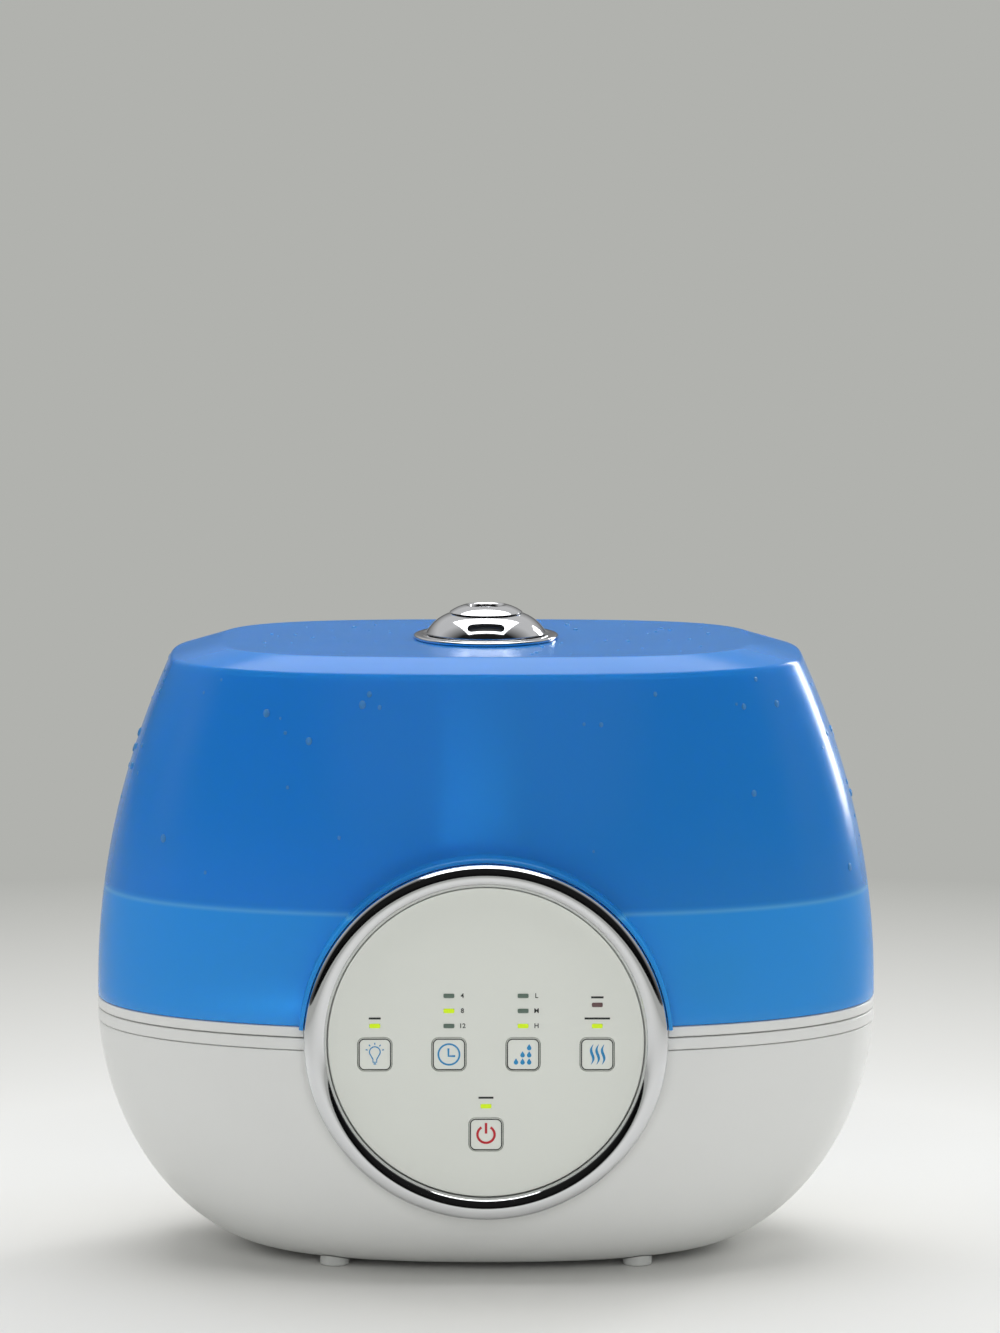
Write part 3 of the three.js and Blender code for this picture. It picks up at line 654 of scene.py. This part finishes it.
def water_tank():
    above = block(400, 300, TANK_BOTTOM_Z, 300)
    edge = 1.5
    collar_outline = [
        (0, -DRUM_DEPTH - 3),
        (COLLAR_R, -DRUM_DEPTH - 3),
        *arc(COLLAR_R - edge, 1 - edge, edge, edge, 0, 90, 8),
        (0, 1),
    ]
    collar = turned(collar_outline, 192).moved(PANEL_FRAME) & above
    recess = on_panel_axis(COLLAR_R + 0.8, -DRUM_DEPTH - 3, 40)
    notch = on_panel_axis(NOTCH_R, -DRUM_DEPTH - GAP, 40)
    water = tank_form(WALL) - recess
    shell = (tank_form(0) + collar) - water - notch - disc(CHIMNEY_R + GAP, 200, 300)
    piece("tank_wall", shell, "tank_blue", "tank", ["tank_shell"])

    a, b = bowl_size(TRIM_BOTTOM_Z)
    plate = oval_prism(a, b, BODY_SQUARENESS, TRIM_BOTTOM_Z, TRIM_TOP_Z, 0.6)
    notch = on_panel_axis(NOTCH_R, -DRUM_DEPTH - GAP, 40)
    floor = plate + disc(NECK_R, 90, TRIM_TOP_Z - 1, CAP_X)
    floor = floor - notch - disc(NECK_BORE_R, 80, 110, CAP_X) - disc(CHIMNEY_R + GAP, 90, 110)
    piece("tank_trim_plate", floor, "white_plastic", "tank", ["tank_floor"])

    tube = pipe(CHIMNEY_R, CHIMNEY_BORE_R, TRIM_BOTTOM_Z, PLATEAU_Z - GAP)
    piece("chimney_tube", tube, "tube_frost", "tank", ["mist_chimney"])
    piece("tank_beads", beads(), "water", "tank")


def wall_point(angle, z):
    """A point on the outside of the tank's side wall."""
    a, b, n, z = tank_section(z)
    c = math.cos(angle)
    s = math.sin(angle)
    size = (abs(c) ** n + abs(s) ** n) ** (-1 / n)
    return Vector((a * c * size, b * s * size, z))


def bead(size, point, along, out):
    """A flattened drop that stands on a surface, a little longer up the wall than across."""
    up = out.cross(along)
    turn = Matrix((along, up, out)).transposed().to_4x4()
    dome = turned([(0, -0.15), (1, -0.15), *arc(0, 0, 1, 0.5, 0, 90, 5)], 14)
    return dome.moved(Matrix.Translation(point) @ turn @ Matrix.Diagonal((size, 1.25 * size, size, 1)))


WALL_BEADS = 100
TOP_BEADS = 50


def beads():
    """Condensation on the outside of the tank, thickest towards the top of its wall."""
    chance = random.Random(11)
    made = []
    while len(made) < WALL_BEADS:
        angle = math.pi * (chance.uniform(0.08, 0.92) + chance.choice((0.5, 1.5)))
        z = RIM_Z - 4 - (RIM_Z - WATER_Z) * chance.random() ** 1.6
        point = wall_point(angle, z)
        if point.y < 0 and math.hypot(point.x, z - PANEL_Z) < COLLAR_R + 8:
            continue
        along = (wall_point(angle + 0.01, z) - point).normalized()
        lean = (wall_point(angle, z + 1) - point).normalized()
        made.append(bead(0.5 + 1.1 * chance.random() ** 2, point, along, along.cross(lean).normalized()))
    while len(made) < WALL_BEADS + TOP_BEADS:
        x = chance.uniform(-0.85, 0.85) * PLATEAU_HALF_WIDTH
        y = chance.uniform(-0.85, 0.85) * PLATEAU_HALF_DEPTH
        if math.hypot(x, y) > FLANGE_R + 3:
            size = 0.4 + 0.8 * chance.random() ** 2
            made.append(bead(size, Vector((x, y, PLATEAU_Z)), Vector((1, 0, 0)), Vector((0, 0, 1))))
    return beside(*made)


# ---- Nozzle -----------------------------------------------------------------------------------


def nozzle():
    flange_z = PLATEAU_Z + GAP
    flange = turned(
        [
            (CHIMNEY_BORE_R, flange_z),
            (FLANGE_R - 0.2, flange_z),
            *arc(FLANGE_R - 0.7, flange_z + 0.7, 0.7, 0.7, -40, 90, 6),
            (DOME_R + 2.6, flange_z + 1.4),
            *arc(DOME_R + 1.6, flange_z + 1.4, 0.4, 0.25, 0, 180, 6),
            (CHIMNEY_BORE_R, flange_z + 1.3),
        ]
    )
    piece("nozzle_base_ring", flange, "chrome", "nozzle", ["nozzle_flange"])

    dome_z = flange_z + 1.4 + GAP
    skin = 2.4
    swell = 1.1
    dome = turned(
        [
            (DOME_R - skin, dome_z),
            (DOME_R - 0.3, dome_z),
            (DOME_R, dome_z + 0.3),
            *bowed((DOME_R, dome_z + 0.6), (DOME_CREST_R + 0.2, DOME_CREST_Z - 0.15), swell, 24),
            (DOME_CREST_R - 0.2, DOME_CREST_Z),
            *bowed((DOME_CREST_R - skin, DOME_CREST_Z), (DOME_R - skin, dome_z), -swell, 12)[:-1],
        ]
    )
    facing = Matrix.Translation((0, SLOT_Y, SLOT_Z)) @ Matrix.Rotation(math.pi / 2 - SLOT_TILT, 4, "X")
    slot = pad(SLOT_W, SLOT_H, 2, -6, 6).moved(facing)
    piece("nozzle_cap", dome - slot, "chrome", "nozzle", ["nozzle_dome"])
    # A dark sheet just inside the slot: painted shade that makes the slot show dark.
    slot_shade_foot = (DOME_R - skin - 0.4, dome_z + 0.2)
    slot_shade_head = (DOME_CREST_R - 1.2, DOME_CREST_Z - 1.6)
    slot_shade_sheet = turned(
        [(DOME_R - skin - 2.2, dome_z + 0.2), *bowed(slot_shade_foot, slot_shade_head, swell, 12)]
    )
    piece("nozzle_slot_shade", slot_shade_sheet, "dark_plastic", "nozzle")

    outlet_z = DOME_CREST_Z + GAP
    mouth = OUTLET_RIDGE_R - MIST_HOLE_R
    outlet = turned(
        [
            (MIST_HOLE_R, outlet_z),
            (DOME_CREST_R - 0.3, outlet_z),
            *bowed((DOME_CREST_R, outlet_z + 0.25), (OUTLET_RIDGE_R + 0.5, NOZZLE_TOP_Z - 0.05), 0.35, 12),
            *arc(OUTLET_RIDGE_R, NOZZLE_TOP_Z - mouth, mouth, mouth, 90, 180, 10),
        ]
    )
    piece("nozzle_doughnut", outlet, "chrome", "nozzle", ["nozzle_outlet"])


# ---- Base -------------------------------------------------------------------------------------


def base():
    outside = bowl_form(0, PARTING_Z, 0.5)
    boss = on_gland_axis(11, 66, 100) & bowl_form(0, PARTING_Z)
    lip_top = COVER_TOP_Z + GAP + WALL
    lip = oval_prism(
        COVER_HALF_WIDTH + 4, COVER_HALF_DEPTH + 4, BODY_SQUARENESS, BASE_BOTTOM_Z + 0.2, lip_top
    )
    housing = (outside - bowl_form(WALL, PARTING_Z + 1)) + lip + boss
    housing = housing - oval_prism(
        COVER_HALF_WIDTH, COVER_HALF_DEPTH, BODY_SQUARENESS, 0, COVER_TOP_Z + GAP
    )
    housing = housing - oval_prism(62, 27, BODY_SQUARENESS, 0, lip_top + 1)
    housing = housing - on_panel_axis(DRUM_R + GAP, -DRUM_DEPTH - GAP, 40)
    housing = housing - on_gland_axis(8.3, GLAND_SEAT_Y, 100) - on_gland_axis(5.8, 60, 100)
    piece("base_bowl", housing, "white_plastic", "base", ["base_housing"])

    a, b = bowl_size(DECK_TOP_Z)
    plate_z = PARTING_Z + GAP
    full = oval_prism(a, b, BODY_SQUARENESS, plate_z, DECK_TOP_Z, 0.6)
    hollow = oval_prism(a - 3.2, b - 3.2, BODY_SQUARENESS, plate_z + 2, DECK_TOP_Z + 1)
    width = 2 * BASIN_HALF_WIDTH
    depth = 2 * BASIN_HALF_DEPTH
    corner = BASIN_CORNER_R
    basin = pad(width, depth, corner, BASIN_FLOOR_Z - WALL, plate_z + 1, BASIN_X, BASIN_Y)
    water = pad(
        width - 2 * WALL, depth - 2 * WALL, corner - WALL, BASIN_FLOOR_Z, DECK_TOP_Z + 1, BASIN_X, BASIN_Y
    )
    deck = (full - hollow) + basin
    deck = deck - water - disc(DUCT_R + GAP, 80, 110, DUCT_X) - disc(13, 60, 72)
    deck = deck - disc(5, 60, 72, HEATER_X, HEATER_Y) - disc(6.3, 80, 110, 0, NIGHT_LIGHT_Y)
    deck = deck - on_panel_axis(DRUM_R + GAP, -DRUM_DEPTH - GAP, 40)
    deck = deck + disc(3, BASIN_FLOOR_Z - 1, 74 - GAP, CAP_X)
    piece("base_tray", deck, "white_plastic", "base", ["base_deck"])

    places = [(-FOOT_X, -FOOT_Y), (FOOT_X, -FOOT_Y), (-FOOT_X, FOOT_Y), (FOOT_X, FOOT_Y)]
    for i, (x, y) in enumerate(places):
        sole = arc(FOOT_R - 0.8, 0.8, 0.8, 0.8, -90, 0, 6)
        foot = turned([(0, 0), *sole, (FOOT_R, 8), (0, 8)], 64).at(x, y)
        piece(f"foot_pad_{i + 1}", foot - bowl_form(-GAP, PARTING_Z), "rubber", "base", [f"foot_{i + 1}"])


# ---- Control panel, in its own frame: x right, y up, z out ------------------------------------

KEYS = {
    "light": (-1.5 * KEY_PITCH, KEY_ROW),
    "timer": (-0.5 * KEY_PITCH, KEY_ROW),
    "mist": (0.5 * KEY_PITCH, KEY_ROW),
    "warm": (1.5 * KEY_PITCH, KEY_ROW),
    "power": (0, POWER_KEY_ROW),
}

# Each lamp's name, place and state.
LAMPS = [
    ("light", -1.5 * KEY_PITCH, LAMP_ROW, "lamp_lit"),
    ("timer_12", -0.5 * KEY_PITCH, LAMP_ROW, "lamp_off"),
    ("timer_8", -0.5 * KEY_PITCH, LAMP_ROW + LAMP_PITCH, "lamp_lit"),
    ("timer_4", -0.5 * KEY_PITCH, LAMP_ROW + 2 * LAMP_PITCH, "lamp_off"),
    ("mist_high", 0.5 * KEY_PITCH, LAMP_ROW, "lamp_lit"),
    ("mist_middle", 0.5 * KEY_PITCH, LAMP_ROW + LAMP_PITCH, "lamp_off"),
    ("mist_low", 0.5 * KEY_PITCH, LAMP_ROW + 2 * LAMP_PITCH, "lamp_off"),
    ("warm", 1.5 * KEY_PITCH, LAMP_ROW, "lamp_lit"),
    ("refill", 1.5 * KEY_PITCH, REFILL_LAMP_ROW, "lamp_refill"),
    ("power", 0, POWER_LAMP_ROW, "lamp_lit"),
]

# Each scale mark, with its column left or right of the middle and its row of lamps.
SCALE_MARKS = [
    ("12", -1, 0),
    ("8", -1, 1),
    ("4", -1, 2),
    ("H", 1, 0),
    ("M", 1, 1),
    ("L", 1, 2),
]
MARK_SIZE = 2.7
MARK_OFFSET_X = 5.4  # from a lamp's middle to its scale mark
WORD_BAR = 0.8  # height of a bar that stands for a word

SHELF_Z = -1.1
INK = 0.08  # thickness of the printed marks
KEY_LINE = 0.45  # width of the line round each key


def panel():
    drum = turned(
        [
            (0, -DRUM_DEPTH),
            (DRUM_R - 0.6, -DRUM_DEPTH),
            (DRUM_R, -DRUM_DEPTH + 0.6),
            *arc(DRUM_R - 0.4, -0.4, 0.4, 0.4, 0, 90, 3),
            (RING_INNER_R + 0.2, 0),
            (RING_INNER_R + 0.2, SHELF_Z),
            (61, SHELF_Z),
            (61, SHELF_Z - 2.5),
            (DRUM_R - WALL, SHELF_Z - 2.5),
            (DRUM_R - WALL, -DRUM_DEPTH + 2.5),
            (0, -DRUM_DEPTH + 2.5),
        ],
        192,
    )
    piece("panel_drum", drum, "white_plastic", "base", ["panel_housing"], inner=PANEL_FRAME)

    middle = (RING_INNER_R + RING_OUTER_R) / 2
    half = (RING_OUTER_R - RING_INNER_R) / 2
    ring = turned(arc(middle, GAP, half, RING_HEIGHT - GAP, 0, 180, 32), 256)
    piece("chrome_ring", ring, "chrome", "base", ["bezel_ring"], inner=PANEL_FRAME)

    back = SHELF_Z + GAP
    radius = RING_INNER_R - GAP
    edge = arc(radius - 0.4, PANEL_FACE - 0.4, 0.4, 0.4, 0, 90, 4)
    face = turned([(0, back), (radius, back), *edge, (0, PANEL_FACE)], 192)
    for x, y in KEYS.values():
        face = face - pad(KEY_SIZE + 0.6, KEY_SIZE + 0.6, KEY_ROUND + 0.3, -9, 9, x, y)
    for _, x, y, _ in LAMPS:
        face = face - block(LAMP_W - 0.6, LAMP_H - 0.6, -9, 9, x, y)
    piece("panel_face", face, "panel_plastic", "base", ["control_panel"], inner=PANEL_FRAME)

    for name, x, y, state in LAMPS:
        lens = pad(LAMP_W, LAMP_H, 0.7, PANEL_FACE + 0.02, PANEL_FACE + 0.3, x, y, 0.15)
        piece(f"lamp_{name}", lens, state, "base", inner=PANEL_FRAME)

    for name, (x, y) in KEYS.items():
        key = pad(KEY_SIZE, KEY_SIZE, KEY_ROUND, -1.2, KEY_TOP, x, y, 0.15)
        stem = disc(2.2, -5.1, -1, x, y, 32)
        body = f"{name}_key"
        button = key + stem
        replaced = [f"key_{name}"]
        piece(
            f"{name}_button", button, "key_plastic", body, replaced, inner=PANEL_FRAME
        )
        ink = "icon_red" if name == "power" else "icon_blue"
        icon = ICONS[name]().at(x, y, KEY_TOP + 0.01)
        piece(f"{name}_icon", icon, ink, body, inner=PANEL_FRAME)
        size = KEY_SIZE - 2 * KEY_LINE
        outline = stroke(rounded_box(size, size, KEY_ROUND - KEY_LINE), KEY_LINE, 0, INK, True)
        outline.at(x, y, KEY_TOP + 0.01)
        piece(f"{name}_outline", outline, "print_grey", body, inner=PANEL_FRAME)
    printed_marks()


def ring_stroke(radius, width, start=0, end=360, steps=48):
    """A round line, closed when it goes all the way."""
    whole = end - start >= 360
    points = arc(0, 0, radius, radius, start, end, steps)
    if whole:
        points.pop()
    return stroke(points, width, 0, INK, whole)


def light_icon():
    """A lamp bulb with rays."""
    bulb = [*arc(0, 1, 2.15, 2.15, -40, 220, 28), (-0.75, -2), (-0.75, -3.2), (0.75, -3.2), (0.75, -2)]
    parts = [stroke(bulb, 0.45, 0, INK, True), stroke([(-0.5, -3.9), (0.5, -3.9)], 0.5, 0, INK)]
    for angle in (15, 52, 90, 128, 165):
        c = math.cos(math.radians(angle))
        s = math.sin(math.radians(angle))
        parts.append(stroke([(3 * c, 1 + 3 * s), (3.8 * c, 1 + 3.8 * s)], 0.45, 0, INK))
    return beside(*parts)


def timer_icon():
    """A clock face."""
    hands = stroke([(-0.2, 2.5), (-0.2, -0.7), (2.5, -0.7)], 0.8, 0, INK)
    return beside(ring_stroke(4.25, 0.7), hands)


def mist_icon():
    """Six drops in steps of one, two and three."""
    drops = []
    for column in range(3):
        for row in range(column + 1):
            outline = [(0, 1.35), *arc(0, -0.35, 0.9, 0.9, -205, 25, 16)]
            drops.append(flat(outline).at(2.65 * (column - 1) - 0.2, 2.95 * (row - 1)))
    return beside(*drops)


def warm_icon():
    """Three waves of rising steam, thick in the middle and pointed at the ends."""
    waves = []
    for x in (-2, 0.2, 2.4):
        left = []
        right = []
        for i in range(25):
            share = i / 24
            middle = x - 0.65 * math.sin(2 * math.pi * share) + 0.8 * (0.5 - share)
            half = 0.08 + 0.5 * math.sin(math.pi * share)
            height = 4.1 - 8.2 * share
            left.append((middle - half, height))
            right.append((middle + half, height))
        waves.append(flat(left + right[::-1]))
    return beside(*waves)


def power_icon():
    """A broken circle with a bar."""
    return beside(ring_stroke(3.45, 0.95, 122, 418), stroke([(0, 4.8), (0, 0.4)], 0.95, 0, INK))


ICONS = {
    "light": light_icon,
    "timer": timer_icon,
    "mist": mist_icon,
    "warm": warm_icon,
    "power": power_icon,
}


def flat(outline):
    """A thin filled shape from its [x, y] outline."""
    return loft([[(x, y, z) for x, y in outline] for z in (0, INK)])


def printed_marks():
    """Scale marks beside the lamps, and plain bars in place of words."""
    parts = []
    word_rise = 3.1
    bars = [
        (-1.5 * KEY_PITCH, LAMP_ROW + word_rise, 4.8),
        (1.5 * KEY_PITCH, LAMP_ROW + word_rise, 10.2),
        (1.5 * KEY_PITCH, REFILL_LAMP_ROW + word_rise, 5),
        (0, POWER_LAMP_ROW + word_rise + 0.4, 6),
    ]
    for x, y, length in bars:
        parts.append(stroke([(x - length / 2, y), (x + length / 2, y)], WORD_BAR, 0, INK))
    for text, column, row in SCALE_MARKS:
        x = column * 0.5 * KEY_PITCH + MARK_OFFSET_X
        parts.append(letters(text, MARK_SIZE).at(x, LAMP_ROW + row * LAMP_PITCH))
    marks = beside(*parts).at(0, 0, PANEL_FACE + 0.01)
    piece("panel_marks", marks, "print_grey", "base", inner=PANEL_FRAME)


def letters(text, size):
    """A scale mark, centred on its middle."""
    curve = bpy.data.curves.new("mark", "FONT")
    curve.body = text
    curve.size = size
    curve.extrude = INK / 2
    curve.offset = 0.045
    curve.align_x = "CENTER"
    curve.align_y = "CENTER"
    holder = bpy.data.objects.new("mark", curve)
    solid = Solid([], [])
    solid.mesh = bpy.data.meshes.new_from_object(holder)
    bpy.data.objects.remove(holder)
    return solid.at(0, 0, INK / 2)


# ---- Carried-over CAD pieces ------------------------------------------------------------------


def finish_cad_nodes():
    """Each CAD node that still shows takes the finish of its material slot in the record."""
    slots = {entry["node"]: entry["material_slot"] for entry in frame["record"]["subparts"]}
    for name, node in frame["nodes"].items():
        if node.hide_render:
            continue
        node.data.materials.clear()
        node.data.materials.append(MATERIALS[slots[name]])


# ---- Stage, lights and camera -------------------------------------------------------------------

BACKDROP = srgb(177, 178, 174)

CAMERA_LENS = 198.7
CAMERA_SHIFT_X = 0.0105
CAMERA_BACK = 3  # metres in front of the chimney
CAMERA_HEIGHT = 0.6506
CAMERA_PITCH = 7.781  # degrees downwards


def stage():
    """A pale floor round the object, which fades into the plain backdrop on every side."""
    steps = 96
    radius = 60
    turns = [2 * math.pi * i / steps for i in range(steps)]
    mesh = bpy.data.meshes.new("floor")
    mesh.from_pydata([(radius * math.cos(t), radius * math.sin(t), 0) for t in turns], [], [range(steps)])
    floor = bpy.data.objects.new("floor", mesh)
    bpy.context.scene.collection.objects.link(floor)
    made, tree, shader, place = new_material("floor")
    shader.inputs["Base Color"].default_value = srgb(214, 214, 211)
    shader.inputs["Roughness"].default_value = 0.6
    away = tree.nodes.new("ShaderNodeVectorMath")
    away.operation = "LENGTH"
    tree.links.new(place, away.inputs[0])
    glow = tree.nodes.new("ShaderNodeEmission")
    glow.inputs["Color"].default_value = BACKDROP
    blend = tree.nodes.new("ShaderNodeMixShader")
    tree.links.new(remap(tree, away.outputs["Value"], 0, 1, 0.35, 0.95), blend.inputs[0])
    tree.links.new(shader.outputs[0], blend.inputs[1])
    tree.links.new(glow.outputs[0], blend.inputs[2])
    tree.links.new(blend.outputs[0], tree.nodes["Material Output"].inputs["Surface"])
    mesh.materials.append(made)


def room():
    """Soft light from the back and the sides, with the front left dark for the chrome to reflect."""
    world = bpy.data.worlds.new("room")
    bpy.context.scene.world = world
    world.use_nodes = True
    tree = world.node_tree
    seen = tree.nodes["Background"]
    seen.inputs["Color"].default_value = BACKDROP
    unseen = tree.nodes.new("ShaderNodeBackground")
    place = tree.nodes.new("ShaderNodeTexCoord")
    parts = tree.nodes.new("ShaderNodeSeparateXYZ")
    tree.links.new(place.outputs["Generated"], parts.inputs[0])
    behind = remap(tree, parts.outputs["Y"], 0.02, 1, -0.25, 0.35)
    above = remap(tree, parts.outputs["Z"], 0.12, 0.75, 0.05, 0.45)
    strength = tree.nodes.new("ShaderNodeMath")
    strength.operation = "MULTIPLY"
    tree.links.new(behind, strength.inputs[0])
    tree.links.new(above, strength.inputs[1])
    tree.links.new(strength.outputs[0], unseen.inputs["Strength"])
    rays = tree.nodes.new("ShaderNodeLightPath")
    blend = tree.nodes.new("ShaderNodeMixShader")
    tree.links.new(rays.outputs["Is Camera Ray"], blend.inputs[0])
    tree.links.new(unseen.outputs[0], blend.inputs[1])
    tree.links.new(seen.outputs[0], blend.inputs[2])
    tree.links.new(blend.outputs[0], tree.nodes["World Output"].inputs["Surface"])


def area_light(name, place, width, height, power, reflected=True):
    """A soft light aimed at the object, which the camera itself doesn't see."""
    data = bpy.data.lights.new(name, "AREA")
    data.shape = "RECTANGLE"
    data.size = width
    data.size_y = height
    data.energy = power
    light = bpy.data.objects.new(name, data)
    bpy.context.scene.collection.objects.link(light)
    light.location = place
    target = Vector((0, 0, 0.13))
    light.rotation_euler = (target - Vector(place)).to_track_quat("-Z", "Y").to_euler()
    light.visible_camera = False
    light.visible_glossy = reflected
    light.visible_transmission = reflected


def tank_glow(name, x, y, z, power):
    """A share of the night light's glow inside the tank, seen only on what it lights."""
    data = bpy.data.lights.new(name, "POINT")
    data.energy = power
    data.shadow_soft_size = 0.02
    data.color = (0.85, 0.95, 1)
    light = bpy.data.objects.new(name, data)
    bpy.context.scene.collection.objects.link(light)
    light.location = BODY_FRAME @ Vector((x, y, z))
    light.visible_camera = False
    light.visible_glossy = False
    light.visible_transmission = False


def lights():
    room()
    tank_glow("glow_left", -75, -30, 128, 0.1)
    tank_glow("glow_front", 0, -54, 188, 0.022)
    area_light("overhead", (0, 0.4, 2.4), 2.2, 2.4, 50)
    area_light("front_fill", (0, -3.2, 1.4), 2.4, 2, 46, reflected=False)
    area_light("left", (-2.4, -0.2, 1), 1, 1.8, 16, reflected=False)
    area_light("right", (2.4, -0.2, 1), 1, 1.8, 16, reflected=False)
    area_light("back_right_strip", (1.9, 2.2, 0.9), 0.5, 1.6, 34)


def camera():
    data = bpy.data.cameras.new("camera")
    data.lens = CAMERA_LENS
    data.sensor_width = 36
    data.shift_x = CAMERA_SHIFT_X
    data.clip_end = 100
    made = bpy.data.objects.new("camera", data)
    bpy.context.scene.collection.objects.link(made)
    made.location = (0, -CAMERA_BACK + BODY_FRAME.translation.y, CAMERA_HEIGHT)
    made.rotation_euler = (math.radians(90 - CAMERA_PITCH), 0, 0)
    bpy.context.scene.camera = made


camera()
water_tank()
nozzle()
base()
panel()
finish_cad_nodes()
stage()
lights()
bpy.context.scene.view_settings.view_transform = "Standard"
